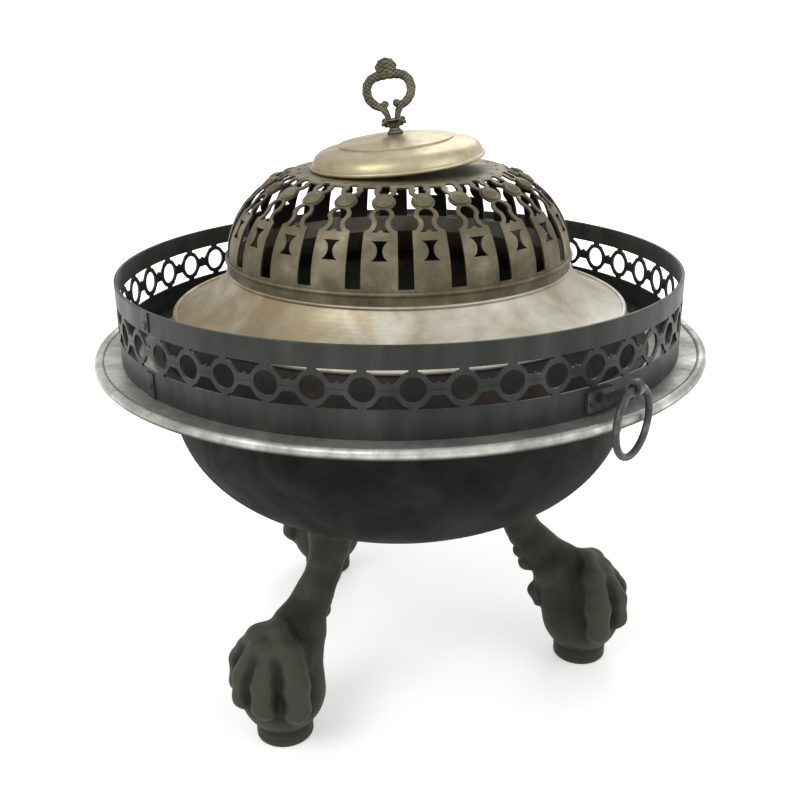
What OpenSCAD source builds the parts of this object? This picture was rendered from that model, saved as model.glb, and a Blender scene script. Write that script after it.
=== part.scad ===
// Round floor brazier: a spun pan on three cast paw legs, a pierced iron gallery round its flange,
// a lift-out ember pan, and a lid with a pierced dome, a cap and a cast loop handle.
// Millimetres. The floor is z = 0, the pan's axis is the Z axis, and the front is -Y.

/* [Pan] */
// Outer radius of the pan's rolled edge
flange_r = 300; // [290:1:330]
// Height of the flange's top face above the floor
flange_z = 363; // [350:1:380]
// Thickness of the pan's sheet
pan_t = 2; // [1.5:0.1:2.5]
// Outer radius of the tube rolled round the edge wire
roll_r = 5; // [4.5:0.1:6]
// Radius of the iron wire inside the rolled edge
rim_wire_r = 2.8; // [2:0.1:2.9]
// Width of the flange, from the bowl's wall to the outside of the rolled edge
flange_w = 69; // [62:1:76]
// Straight wall below the flange before the bowl curves in
bowl_wall_h = 45; // [35:1:55]
// Depth of the curved part of the bowl
bowl_curve_h = 147; // [140:1:152]
// Radius of the curve at the bowl's shoulder
bowl_shoulder_r = 110; // [100:1:118]

/* [Legs] */
// How far each foot's centre stands in from the bowl's wall
foot_inset = 35; // [27:1:43]
// Bearing of the first leg, counted from the front towards the right
leg_bearing = -37.5; // [-60:0.5:60]
// Bearing of the back leg, which stands hidden behind the first one
leg_back_bearing = 209.5; // [195:0.5:215]
// Radius of the round pad under each paw
foot_pad_r = 28; // [24:1:30]
// Half the width of each paw at its widest
paw_half_w = 49; // [44:0.5:52]
// Radius of the boss that meets the bowl
leg_boss_r = 23; // [20:0.5:25]
// How far the boss's centre stands in from the bowl's wall
leg_boss_inset = 113; // [109:1:117]
// Radius of the leg rivets' shanks
leg_rivet_r = 3.2; // [2.5:0.1:4]

/* [Gallery] */
// Width of the flange that shows outside the pierced band
ledge_w = 26; // [20:1:32]
// Height of the band above the flange
gallery_h = 77; // [72:1:84]
// Thickness of the band
gallery_t = 2; // [1.6:0.1:3]
// Height of the pierced frieze
frieze_h = 32.6; // [30:0.2:35]
// Height of the plain strip under the frieze
lower_strip_h = 25; // [22:0.5:28]
// Number of rings in the frieze
ring_count = 44; // [40:1:48]
// Bearing of one ring's centre
ring_bearing = 2; // [0:0.5:8]
// Outer width of a ring in the frieze
frieze_ring_w = 26.8; // [25:0.1:29]
// Width of a ring's metal
frieze_ring_wall = 4.2; // [3:0.1:5]
// Height of the bridge between two rings
frieze_bridge_h = 8; // [5:0.5:10]
// Width of the foot folded inwards under the band
gallery_foot_w = 14; // [10:1:16]
// Number of rivets through the gallery's foot
gallery_rivet_count = 12; // [6:1:18]

/* [Ring handles] */
// Bearing of the right-hand ring handle
handle_bearing = 36; // [20:1:60]
// Height of the ring's hinge above the flange
hinge_rise = 33; // [30:0.5:36]
// How far the hinge stands out past the rolled edge
hinge_reach = 11; // [10.5:0.5:15]
// Radius of the ring, to the middle of its wire
drop_ring_r = 28.8; // [24:0.2:32]
// Radius of the ring's wire
drop_wire_r = 3; // [2.5:0.1:3.3]
// How far the eye is turned from square
eye_turn = 16; // [0:1:17]
// Width of the eye
eye_w = 8; // [6:0.5:9]

/* [Ember pan] */
// Height of the ember pan's rim above the flange
ember_rise = 34; // [28:0.5:38]
// How far the ember pan's foot reaches past the bowl's wall
ember_foot_lap = 15; // [13:0.5:20]
// Width of the ember pan's foot on the flange
ember_foot_w = 12; // [8:0.5:13]
// How far the ember pan's rim stands in from its foot
ember_lean = 24; // [18:0.5:30]
// Width of the ember pan's flat rim
ember_rim_w = 42; // [34:1:50]
// Depth of the ember bowl below its rim
ember_depth = 110; // [90:1:130]
// Radius of the curve at the ember bowl's side
ember_shoulder_r = 80; // [70:1:88]
// Thickness of the ember pan's sheet
ember_t = 2; // [1.5:0.1:3]

/* [Lid] */
// How far the lid's rim stands out past the ember pan's
lid_lap = 1; // [0:0.1:2]
// Width of the skirt, from its rim to the dome's base
skirt_w = 56; // [52:0.5:60]
// Height of the lid's skirt, from rim to shoulder
skirt_h = 42.5; // [38:0.5:48]
// Thickness of the lid's brass
lid_t = 1.8; // [1.4:0.1:2.2]
// Radius of the bead round the lid's rim
skirt_bead_r = 2.4; // [2:0.1:3]
// Radius of the hollow curve of the skirt
skirt_curve_r = 90; // [80:1:120]
// Height of the plain band under the dome's curve
dome_band_h = 10; // [6:0.5:12]
// Height of the full curve over the dome's base
dome_full_h = 101; // [98:0.5:104]
// Height of the flat crown above the dome's base
dome_flat_h = 80; // [78:0.1:82]
// Radius of the curve at the dome's shoulder
dome_shoulder_r = 78; // [72:1:82]
// Number of panels round the dome
panel_count = 23; // [20:1:26]
// Bearing of one panel's centre
panel_bearing = -5.8; // [-9:0.1:9]
// Share of a panel's pitch that its foot fills
tongue_share = 0.7; // [0.6:0.01:0.76]
// Width of the narrow strips that shape a panel
strip_w = 4.2; // [3:0.1:5]
// Radius of the round boss on each panel
boss_r = 10.2; // [8:0.1:11]

/* [Cap and handle] */
// How far the cap's rim stands in from the edge of the flat crown
cap_inset = 20.7; // [15:0.1:24]
// Height of the cap above its rim
cap_h = 24; // [20:0.5:28]
// Radius of the curve at the cap's edge
cap_shoulder_r = 14; // [10:0.5:17]
// Width of the cap outside its raised disc
cap_edge_w = 27; // [20:1:37]
// How far the cap has tipped on the crown
cap_tilt = 4.8; // [0:0.1:6]
// Bearing of the side that the cap has tipped down to
cap_low_bearing = -75; // [-120:1:120]
// Half the width of the loop, to the middle of its bar
loop_reach = 21; // [19:0.2:24]
// Height of the loop's top above the cap, to the middle of its bar
loop_rise = 53; // [50:0.5:57]
// Radius of the loop's bar
loop_bar_r = 4; // [3.4:0.1:4.5]
// Height of the shell on top of the loop
shell_h = 13.5; // [11:0.5:15]
// Radius of the handle's threaded shank
shank_r = 4; // [3:0.1:5]

/* [Hidden] */
$fn = 96;
round_fn = 192;

// colours of the real finishes
iron = "#3e403e";
soot = "#2b2e2a";
cast = "#3c3e33";
brass_worn = "#a39775";
brass_cap = "#b3a680";
brass_old = "#7d7558";

// working clearances
slip = 0.1;      // shank in its hole
face_gap = 0.2;  // between curved faces that meet within one body
seat_gap = 0.2;  // under the lid's rim bead
head_gap = 0.05; // under a rivet's head on a curved wall
arc_step = 0.02; // between two arcs that would otherwise only touch

// the pan
bowl_r = flange_r - flange_w;
flange_under_z = flange_z - pan_t;
roll_z = flange_z - roll_r / 2;
roll_centre_r = flange_r - roll_r;
bowl_turn_z = flange_under_z - bowl_wall_h;
bowl_bottom_z = bowl_turn_z - bowl_curve_h;

// a basket arch of half width w, height h and shoulder radius s: its crown arc's radius and centre
function crown_drop(w, h, s) = (pow(w - s, 2) - pow(h - s, 2)) / (2 * (h - s));
function crown_arc_r(w, h, s) = h + crown_drop(w, h, s);
function crown_join(w, h, s) = atan((w - s) / crown_drop(w, h, s));

bowl_crown_r = crown_arc_r(bowl_r, bowl_curve_h, bowl_shoulder_r);
bowl_crown_z = bowl_turn_z + crown_drop(bowl_r, bowl_curve_h, bowl_shoulder_r);

// the legs
leg_bearings = [leg_bearing, leg_bearing + 120, leg_back_bearing];
foot_circle_r = bowl_r - foot_inset;
leg_boss_circle_r = bowl_r - leg_boss_inset;
leg_rivet_lean = asin(leg_boss_circle_r / bowl_crown_r);
leg_rivet_swing = 2.1;
leg_rivet_len = 14;
leg_rivet_head_h = 3;

// the gallery
gallery_r = flange_r - ledge_w;
gallery_z = flange_z;
frieze_z = gallery_z + lower_strip_h + frieze_h / 2;
ring_pitch = 2 * PI * gallery_r / ring_count;
hem_h = 7;
hem_t = 1.2;
foot_mid_r = gallery_r - gallery_t - gallery_foot_w / 2;
rivet_r = 2;
seam_bearing = ring_bearing - 360 / ring_count * 6.5;
seam_w = ring_pitch * 0.3;
seam_t = 1.2;
strap_low_h = lower_strip_h - 2;
strap_top_h = gallery_h - lower_strip_h - frieze_h - 2;

// the ring handles
hinge_z = flange_z + hinge_rise;
hinge_r = flange_r + hinge_reach;
eye_bore_r = drop_wire_r + 0.75;
eye_r = eye_bore_r + 3.2;
eye_plate_h = 18;
eye_plate_w = 30;
eye_plate_t = 3;
eye_arm_t = 5;
eye_rivet_pitch = 20;

// the ember pan and the lid stand on each other
ember_foot_r = bowl_r + ember_foot_lap;
ember_rim_r = ember_foot_r - ember_lean;
ember_mouth_r = ember_rim_r - ember_rim_w;
ember_z = flange_z + ember_rise;
ember_bowl_turn_z = ember_z - ember_t;
lid_z = ember_z + seat_gap;
skirt_r = ember_rim_r + lid_lap;
dome_r = skirt_r - skirt_w;
shoulder_z = lid_z + skirt_h;
neck_r = dome_r - lid_t - face_gap;
dome_z = shoulder_z + dome_band_h;
dome_drop = crown_drop(dome_r, dome_full_h, dome_shoulder_r);
dome_crown_r = crown_arc_r(dome_r, dome_full_h, dome_shoulder_r);
dome_join = crown_join(dome_r, dome_full_h, dome_shoulder_r);
dome_join_s = dome_shoulder_r * (90 - dome_join) * PI / 180;
flat_r = sqrt(pow(dome_crown_r, 2) - pow(dome_flat_h + dome_drop, 2));
flat_e = acos(flat_r / dome_crown_r);
dome_s = dome_join_s + dome_crown_r * (flat_e - 90 + dome_join) * PI / 180;
crown_z = dome_z + dome_flat_h;
crown_hole_r = shank_r + 3;
base_bead_r = 2.2;
foot_bead_r = 1.5;

// the cap
cap_r = flat_r - cap_inset;
cap_disc_r = cap_r - cap_edge_w;
cap_bead_r = 2;
cap_t = lid_t;
cap_z = crown_z + cap_r * sin(cap_tilt) + cap_bead_r + 0.05;
cap_step = 1.5;
cap_bowl_h = cap_h - cap_step;
washer_r = 14;
washer_t = 2;
nut_r = 8;
nut_h = 6;

// a bearing is counted from the front, and shapes are built on the +X side
module at_bearing(a) rotate([0, 0, a - 90]) children();

// the arch's outline above its base line, as half a section; its crown is a hair low, so that the arcs cross
module arch_half(w, h, s) {
    drop = crown_drop(w, h, s);
    join = crown_join(w, h, s);
    reach = h + 10;
    intersection() {
        square([w + 1, h + 1]);
        union() {
            translate([w - s, 0]) circle(s, $fn = round_fn);
            intersection() {
                translate([0, -drop]) circle(crown_arc_r(w, h, s) - arc_step, $fn = 2 * round_fn);
                polygon([[0, -drop], [(reach + drop) * tan(join), reach], [0, reach]]);
            }
        }
    }
}

module arch_shell_half(w, h, s, t) difference() {
    arch_half(w, h, s);
    arch_half(w - t, h - t, s - t);
}

// the pan's section: rolled edge, flange, wall and bowl
module pan_section() {
    translate([roll_centre_r, roll_z]) difference() {
        circle(roll_r);
        circle(rim_wire_r + slip);
    }
    translate([bowl_r - pan_t, flange_under_z])
        square([roll_centre_r - roll_r * 0.8 - bowl_r + pan_t, pan_t]);
    translate([bowl_r - pan_t, bowl_turn_z]) square([pan_t, flange_z - bowl_turn_z - pan_t / 2]);
    translate([0, bowl_turn_z]) mirror([0, 1])
        arch_shell_half(bowl_r, bowl_curve_h, bowl_shoulder_r, pan_t);
}

module leg_rivet_places() for (a = leg_bearings, side = [-1, 1])
    at_bearing(a) translate([0, 0, bowl_crown_z])
        rotate([side * leg_rivet_swing, -leg_rivet_lean, 0]) rotate([180, 0, 0]) children();

module gallery_rivet_places() for (i = [0:gallery_rivet_count - 1])
    at_bearing(ring_bearing + 360 * (i + 0.5) / gallery_rivet_count)
        translate([foot_mid_r, 0, flange_z]) children();

module pan() color(soot) difference() {
    rotate_extrude($fn = round_fn) pan_section();
    leg_rivet_places() translate([0, 0, bowl_crown_r - 2 * pan_t])
        cylinder(r = leg_rivet_r + slip, h = 3 * pan_t);
    gallery_rivet_places() translate([0, 0, -2 * pan_t]) cylinder(r = rivet_r + slip, h = 3 * pan_t);
}

module rim_wire() color(iron) rotate_extrude($fn = round_fn)
    translate([roll_centre_r, roll_z]) circle(rim_wire_r);

// a leg's stations from the floor up: share of its height, share of its lean towards the bowl,
// half depth, half width, depth of the toe grooves; the paw and the shank are shares of the paw's half width
leg_h = bowl_bottom_z + 1;
leg_lean = foot_circle_r - leg_boss_circle_r;
pad_stations = [
    [0, 0, foot_pad_r - 3, foot_pad_r - 3, 0],
    [0.02, 0, foot_pad_r, foot_pad_r, 0],
    [0.1, 0, foot_pad_r + 0.5, foot_pad_r + 0.5, 0],
    [0.13, 0, foot_pad_r - 1, foot_pad_r - 1, 0.02]];
paw_shares = [
    [0.165, 0.01, 0.673, 0.694, 0.14],
    [0.235, 0.01, 0.837, 0.878, 0.2],
    [0.32, 0, 0.98, 1, 0.17],
    [0.375, 0.01, 0.959, 1, 0.12],
    [0.435, 0.03, 0.939, 0.939, 0.16],
    [0.505, 0.06, 0.959, 0.898, 0.17],
    [0.575, 0.17, 1, 0.755, 0.11],
    [0.635, 0.28, 1, 0.571, 0.06],
    [0.695, 0.41, 0.939, 0.449, 0.02],
    [0.755, 0.55, 0.796, 0.367, 0],
    [0.825, 0.73, 0.592, 0.327, 0],
    [0.895, 0.86, 0.469, 0.327, 0],
    [0.955, 0.94, 0.449, 0.357, 0]];
leg_stations = concat(
    pad_stations,
    [for (v = paw_shares) [v[0], v[1], v[2] * paw_half_w, v[3] * paw_half_w, v[4]]],
    [[1, 1, leg_boss_r, leg_boss_r - 3, 0]]);
leg_sides = 44;
leg_steps = 2;

function spline(p, q, r, s, t) =
    q + 0.5 * t * (r - p + t * (2 * p - 5 * q + 4 * r - s + t * (3 * (q - r) + s - p)));
function station(i) = leg_stations[max(0, min(len(leg_stations) - 1, i))];
function leg_level(k) = let (i = floor(k / leg_steps), t = k / leg_steps - i)
    spline(station(i - 1), station(i), station(i + 1), station(i + 2), t);
// four toes look outwards: a groove every 40 degrees over the front of the paw
function toe(a, depth) = let (b = a > 180 ? a - 360 : a)
    abs(b) < 80 ? 1 - depth * pow(1 - abs(sin(4.5 * b)), 1.6) : 1;
function leg_ring(v) = [for (j = [0:leg_sides - 1]) let (a = 360 * j / leg_sides, m = toe(a, v[4]))
    [v[2] * cos(a) * m - v[1] * leg_lean, v[3] * sin(a) * m, v[0] * leg_h]];

module paw_leg(a) {
    levels = (len(leg_stations) - 1) * leg_steps;
    rings = [for (k = [0:levels]) each leg_ring(leg_level(k))];
    n = leg_sides;
    top = levels * n;
    faces = concat(
        [[for (j = [0:n - 1]) j]],
        [for (k = [0:levels - 1], j = [0:n - 1]) let (b = k * n, c = (j + 1) % n)
            [b + j, b + n + j, b + n + c, b + c]],
        [[for (j = [n - 1:-1:0]) top + j]]);
    at_bearing(a) difference() {
        union() {
            translate([foot_circle_r, 0, 0]) polyhedron(points = rings, faces = faces, convexity = 4);
            translate([leg_boss_circle_r, 0, leg_h - 1])
                cylinder(r = leg_boss_r, h = 2 * leg_boss_r, $fn = 48);
        }
        bowl_body();
    }
}

// everything inside the bowl's outer face
module bowl_body() rotate_extrude($fn = round_fn) translate([0, bowl_turn_z]) {
    mirror([0, 1]) arch_half(bowl_r, bowl_curve_h, bowl_shoulder_r);
    square([bowl_r, bowl_wall_h]);
}

module drilled_leg(a) color(cast) difference() {
    paw_leg(a);
    leg_rivet_places() translate([0, 0, bowl_crown_r - pan_t])
        cylinder(r = leg_rivet_r + slip, h = leg_rivet_len + 1, $fn = 48);
}

module leg_left_front() drilled_leg(leg_bearings[0]);
module leg_right() drilled_leg(leg_bearings[1]);
module leg_back() drilled_leg(leg_bearings[2]);

// domed head on the inside of the bowl, shank down into the leg
module leg_rivets() color(iron) leg_rivet_places() {
    head_z = bowl_crown_r - pan_t - 0.12;
    translate([0, 0, head_z - leg_rivet_head_h])
        cylinder(r1 = 1.4 * leg_rivet_r, r2 = 2 * leg_rivet_r, h = leg_rivet_head_h, $fn = 48);
    translate([0, 0, head_z - 0.1]) cylinder(r = leg_rivet_r, h = leg_rivet_len, $fn = 48);
}

// shapes of the frieze, in the band's own developed plane
module upright_oval(w, h) {
    reach = (h - w) / 2;
    for (side = [-1, 1]) translate([0, side * reach]) circle(w / 2, $fn = 40);
    square([w, 2 * reach], center = true);
}

module ring_opening() upright_oval(frieze_ring_w - 2 * frieze_ring_wall, frieze_h - 2.7 * frieze_ring_wall);

// the gap over or under a bridge, between the flanks of two rings
module bridge_opening(side) difference() {
    translate([0, side * (frieze_h + frieze_bridge_h) / 4])
        square([ring_pitch, (frieze_h - frieze_bridge_h) / 2], center = true);
    for (s = [-1, 1]) translate([s * ring_pitch / 2, 0]) upright_oval(frieze_ring_w, frieze_h + 0.6);
}

module on_band(a) at_bearing(a) translate([gallery_r - gallery_t / 2, 0, frieze_z]) rotate([90, 0, 90])
    linear_extrude(height = 5 * gallery_t, center = true) children();

module gallery_section() {
    translate([gallery_r - gallery_t, gallery_z]) square([gallery_t, gallery_h]);
    translate([gallery_r - gallery_t - hem_t, gallery_z + gallery_h - hem_h]) square([hem_t + 0.1, hem_h]);
    translate([gallery_r - gallery_t - gallery_foot_w, gallery_z]) square([gallery_foot_w + 0.1, gallery_t]);
}

module gallery() color(iron) difference() {
    rotate_extrude($fn = round_fn) gallery_section();
    for (i = [0:ring_count - 1]) {
        on_band(ring_bearing + 360 * i / ring_count) ring_opening();
        on_band(ring_bearing + 360 * (i + 0.5) / ring_count) bridge_opening(1);
        on_band(ring_bearing + 360 * (i + 0.5) / ring_count) bridge_opening(-1);
    }
    gallery_rivet_places() rivet_hole(2 * gallery_t);
    seam_rivet_places() rivet_hole(3 * gallery_t);
    eye_rivet_places() rivet_hole(3 * gallery_t);
}

module rivet_hole(reach) translate([0, 0, -reach]) cylinder(r = rivet_r + slip, h = 2 * reach, $fn = 48);

// a rivet with its manufactured head on top, its shank down through a pack of sheets
module small_rivet(grip) {
    cylinder(r1 = 2 * rivet_r, r2 = 1.4 * rivet_r, h = 0.7 * rivet_r, $fn = 48);
    translate([0, 0, -grip]) cylinder(r = rivet_r, h = grip + 0.1, $fn = 48);
    translate([0, 0, -grip - 0.6 * rivet_r])
        cylinder(r1 = 1.3 * rivet_r, r2 = 1.7 * rivet_r, h = 0.6 * rivet_r, $fn = 48);
}

module gallery_rivets() color(iron) gallery_rivet_places()
    translate([0, 0, gallery_t]) small_rivet(gallery_t + pan_t);

// the band's lap joint is covered by a strap above and below the frieze
module seam_strap_at(z, h) at_bearing(seam_bearing) intersection() {
    translate([0, 0, z]) rotate_extrude($fn = round_fn)
        translate([gallery_r, 0]) square([seam_t, h]);
    translate([0, -seam_w / 2, z - 1]) cube([2 * gallery_r, seam_w, h + 2]);
}

module seam_strap() color(iron) difference() {
    union() {
        seam_strap_at(gallery_z, strap_low_h);
        seam_strap_at(gallery_z + gallery_h - strap_top_h, strap_top_h);
    }
    seam_rivet_places() rivet_hole(3 * gallery_t);
}

module seam_rivet_places() at_bearing(seam_bearing)
    for (z = [gallery_z + strap_low_h * 0.55, gallery_z + gallery_h - (strap_top_h + hem_h) / 2])
        translate([gallery_r + seam_t, 0, z]) rotate([0, 90, 0]) children();

module seam_rivets() color(iron) seam_rivet_places()
    translate([0, 0, head_gap]) small_rivet(gallery_t + seam_t + 6 * head_gap);

// a forged eye: a plate on the band, an arm that rises outwards and a knuckle round the ring
module eye_rivet_places() for (side = [0, 180], s = [-1, 1]) at_bearing(handle_bearing + side)
    rotate([0, 0, s * asin(eye_rivet_pitch / 2 / gallery_r)])
        translate([gallery_r + eye_plate_t, 0, gallery_z + lower_strip_h / 2]) rotate([0, 90, 0]) children();

module eye(a) color(iron) {
    plate_z = gallery_z + (lower_strip_h - eye_plate_h) / 2;
    arm_start = gallery_r + eye_plate_t / 2;
    arm_from_z = gallery_z + lower_strip_h / 2;
    arm_run = hinge_r - arm_start;
    arm_climb = hinge_z - arm_from_z;
    arm_len = sqrt(pow(arm_run, 2) + pow(arm_climb, 2));
    difference() {
        union() {
            at_bearing(a) intersection() {
                translate([0, 0, plate_z]) rotate_extrude($fn = round_fn)
                    translate([gallery_r, 0]) square([eye_plate_t, eye_plate_h]);
                translate([0, -eye_plate_w / 2, plate_z - 1])
                    cube([2 * gallery_r, eye_plate_w, eye_plate_h + 2]);
            }
            at_bearing(a) translate([arm_start, 0, arm_from_z])
                rotate([0, -atan(arm_climb / arm_run), 0])
                    translate([0, -eye_w / 2, -eye_arm_t / 2]) cube([arm_len, eye_w, eye_arm_t]);
            eye_frame(a) rotate([90, 0, 0]) cylinder(r = eye_r, h = eye_w, center = true, $fn = 64);
        }
        eye_frame(a) rotate([90, 0, 0]) cylinder(r = eye_bore_r, h = 2 * eye_w, center = true, $fn = 64);
        eye_rivet_places() rivet_hole(3 * eye_plate_t);
    }
}

module eye_frame(a) at_bearing(a) translate([hinge_r, 0, hinge_z]) rotate([0, 0, eye_turn]) children();

module eye_right() eye(handle_bearing);
module eye_left() eye(handle_bearing + 180);
module eye_rivets() color(iron) eye_rivet_places()
    translate([0, 0, head_gap]) small_rivet(gallery_t + eye_plate_t + 6 * head_gap);

// the ring hangs from its eye, its wire's middle on the hinge
module drop_ring(a) color(iron) eye_frame(a) translate([0, 0, -drop_ring_r]) rotate([0, 90, 0])
    rotate_extrude($fn = 72) translate([drop_ring_r, 0]) circle(drop_wire_r, $fn = 32);

module ring_right() drop_ring(handle_bearing);
module ring_left() drop_ring(handle_bearing + 180);

// the ember pan: a foot on the flange, a skirt up to the rim, and a bowl that hangs from the rim
module ember_section() {
    wall_r = ember_foot_r - ember_foot_w;
    translate([wall_r, flange_z]) square([ember_foot_w, ember_t]);
    polygon([[wall_r, flange_z], [wall_r + ember_t, flange_z],
        [ember_rim_r, ember_z - ember_t / 2], [ember_rim_r - ember_t, ember_z - ember_t / 2]]);
    translate([ember_mouth_r - ember_t, ember_z - ember_t]) square([ember_rim_w + ember_t, ember_t]);
    translate([0, ember_bowl_turn_z]) mirror([0, 1])
        arch_shell_half(ember_mouth_r, ember_depth, ember_shoulder_r, ember_t);
    translate([ember_mouth_r - ember_t, ember_bowl_turn_z - 0.1]) square([ember_t, ember_t]);
}

module ember_pan() color(soot) rotate_extrude($fn = round_fn) ember_section();

// the skirt's hollow curve is an arc that starts level with the shoulder's foot
module skirt_section() {
    run = skirt_r - skirt_bead_r - neck_r;
    rise = skirt_h - skirt_bead_r;
    half = sqrt(run * run + rise * rise) / 2;
    off = sqrt(pow(skirt_curve_r, 2) - half * half);
    arc_x = neck_r + run / 2 + off * rise / (2 * half);
    arc_z = lid_z + skirt_bead_r + rise / 2 + off * run / (2 * half);
    translate([skirt_r - skirt_bead_r, lid_z + skirt_bead_r]) circle(skirt_bead_r, $fn = 40);
    intersection() {
        translate([arc_x, arc_z]) difference() {
            circle(skirt_curve_r + lid_t, $fn = 2 * round_fn);
            circle(skirt_curve_r, $fn = 2 * round_fn);
        }
        translate([neck_r - lid_t, lid_z]) square([run + lid_t, skirt_h]);
    }
    translate([neck_r - lid_t, shoulder_z - 4]) square([lid_t, 4 + dome_band_h + 3]);
    translate([neck_r - 0.5, shoulder_z - 2 * foot_bead_r]) square([dome_r - neck_r + 1, 2 * foot_bead_r]);
    translate([dome_r + 0.3, shoulder_z - foot_bead_r]) circle(foot_bead_r, $fn = 40);
}

module lid_skirt() color(brass_worn) rotate_extrude($fn = round_fn) skirt_section();

// a place on the dome: share of the way from base to crown, and bearing
function dome_e(q) = let (s = q * dome_s) s < dome_join_s ? s / dome_shoulder_r * 180 / PI
    : 90 - dome_join + (s - dome_join_s) / dome_crown_r * 180 / PI;
function dome_place_r(q) = q * dome_s < dome_join_s ? dome_r - dome_shoulder_r * (1 - cos(dome_e(q)))
    : dome_crown_r * cos(dome_e(q));
function dome_place_z(q) = q * dome_s < dome_join_s ? dome_z + dome_shoulder_r * sin(dome_e(q))
    : dome_z - dome_drop + dome_crown_r * sin(dome_e(q));
function panel_pitch(q) = 2 * PI * dome_place_r(q) / panel_count;

module on_dome(q, a) at_bearing(a) translate([dome_place_r(q), 0, dome_place_z(q)])
    rotate([0, -dome_e(q), 0]) rotate([90, 0, 90]) children();

module through_dome(q, a) on_dome(q, a) linear_extrude(height = 26, center = true) children();

// shares of the way up at which the panel's parts lie
foot_q = 0.045;
waist_q = 0.335;
tongue_top_q = 0.485;
neck_q = 0.565;
bell_q = 0.645;
boss_q = 0.8;
arch_q = 0.945;
slot_top_q = 0.975;
bell_hole_r = 6.4;   // head of the bell-shaped opening
neck_half = 3.6;     // half the width of the opening's neck
neck_cut_r = 7;      // round the neck, outside the strip
panel_edge = 5.5;    // half the width that the slot's rough outline leaves of a panel
spandrel_h = 4.2;
hourglass_w = 15.6;
hourglass_h = 17.4;
hourglass_side_r = 9.7; // round the hourglass's waist
hourglass_waist = 4.6;  // width of its waist
sill_rise_r = 2.6;      // the small rise in the bell's sill
trefoil_top_r = 4.2;
trefoil_side_r = 3.2;
trefoil_lift = 2.9;     // how far the leaves lie above and below the middle
trefoil_side = 2.1;     // how far the lower leaves lie to each side
boss_rise = 1.4;        // how far the boss stands out of the sheet
boss_sink = 0.6;        // how far it starts inside the sheet
boss_step = 1.4;        // from the boss's outline to its raised part

// the height of one place on a panel above another, measured in the sheet
function climb(from, to) = (to - from) * dome_s;

// the straight slot between two panels' feet
module foot_slot(mid) {
    low = panel_pitch(foot_q) * (1 - tongue_share) / 2;
    high = panel_pitch(tongue_top_q) * (1 - tongue_share) / 2;
    low_y = climb(mid, foot_q);
    high_y = climb(mid, neck_q) - neck_cut_r / 2;
    polygon([[-low, low_y], [low, low_y], [high, high_y], [-high, high_y]]);
}

// the slot beside the necks, bells, bosses and arches of two panels
module waist_slot(mid) {
    neck_y = climb(mid, neck_q);
    pinch_q = (bell_q + boss_q) / 2;
    end_y = climb(mid, slot_top_q);
    lens = panel_pitch(neck_q) / 2 - strip_w - neck_half - neck_cut_r;
    low = lens + 0.86 * neck_cut_r;
    middle = panel_pitch(pinch_q) / 2 - panel_edge;
    high = panel_pitch(slot_top_q) / 2 - panel_edge;
    difference() {
        polygon([[-low, neck_y + 3], [low, neck_y + 3], [middle, climb(mid, pinch_q)], [high, end_y],
            [-high, end_y], [-middle, climb(mid, pinch_q)]]);
        for (s = [-1, 1]) {
            translate([s * panel_pitch(bell_q) / 2, climb(mid, bell_q)])
                circle(bell_hole_r + strip_w, $fn = 48);
            translate([s * panel_pitch(boss_q) / 2, climb(mid, boss_q)]) circle(boss_r, $fn = 48);
            translate([s * panel_pitch(arch_q) / 2, climb(mid, arch_q)]) circle(boss_r - 0.4, $fn = 48);
        }
    }
    for (s = [-1, 1]) translate([s * lens, neck_y]) circle(neck_cut_r, $fn = 48);
    translate([-max(lens, 0), neck_y - 0.7 * neck_cut_r]) square([2 * max(lens, 0), 1.4 * neck_cut_r]);
}

// two trumpets mouth to mouth
module hourglass() difference() {
    square([hourglass_w, hourglass_h], center = true);
    for (s = [-1, 1]) translate([s * (hourglass_side_r + hourglass_waist / 2), 0])
        circle(hourglass_side_r, $fn = 64);
}

// a round head on a flared foot, with a small rise in the middle of its sill
module bell(mid) {
    head_y = climb(mid, bell_q);
    sill_y = climb(mid, tongue_top_q);
    flank_r = neck_cut_r + strip_w;
    translate([0, head_y]) circle(bell_hole_r, $fn = 48);
    difference() {
        translate([-neck_half - strip_w - 1, sill_y])
            square([2 * (neck_half + strip_w + 1), head_y - bell_hole_r / 2 - sill_y]);
        for (s = [-1, 1]) translate([s * (neck_half + flank_r), climb(mid, neck_q)])
            circle(flank_r, $fn = 64);
        translate([0, sill_y - 0.2 * sill_rise_r]) circle(sill_rise_r, $fn = 32);
    }
}

// the opening in the arch over the boss
module trefoil() {
    translate([0, trefoil_lift]) circle(trefoil_top_r, $fn = 40);
    for (s = [-1, 1]) translate([s * trefoil_side, -trefoil_lift]) circle(trefoil_side_r, $fn = 40);
}

// a small triangle in the flat crown, its point between two arches
module spandrel(a) at_bearing(a) translate([flat_r - 1.6 * spandrel_h, 0, crown_z]) rotate([0, 0, 90])
    linear_extrude(height = 6 * lid_t, center = true)
        polygon(spandrel_h * [[0, -0.5], [0.8, 0.5], [-0.8, 0.5]]);

module dome_shell() rotate_extrude($fn = 2 * round_fn) {
    translate([0, dome_z]) difference() {
        intersection() {
            arch_half(dome_r, dome_full_h, dome_shoulder_r);
            square([dome_r + 1, dome_flat_h]);
        }
        intersection() {
            arch_half(dome_r - lid_t, dome_full_h - lid_t, dome_shoulder_r - lid_t);
            square([dome_r + 1, dome_flat_h - lid_t]);
        }
        square([crown_hole_r, 2 * dome_flat_h]);
    }
    translate([dome_r - lid_t, shoulder_z]) square([lid_t, dome_band_h + 0.1]);
}

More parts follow.
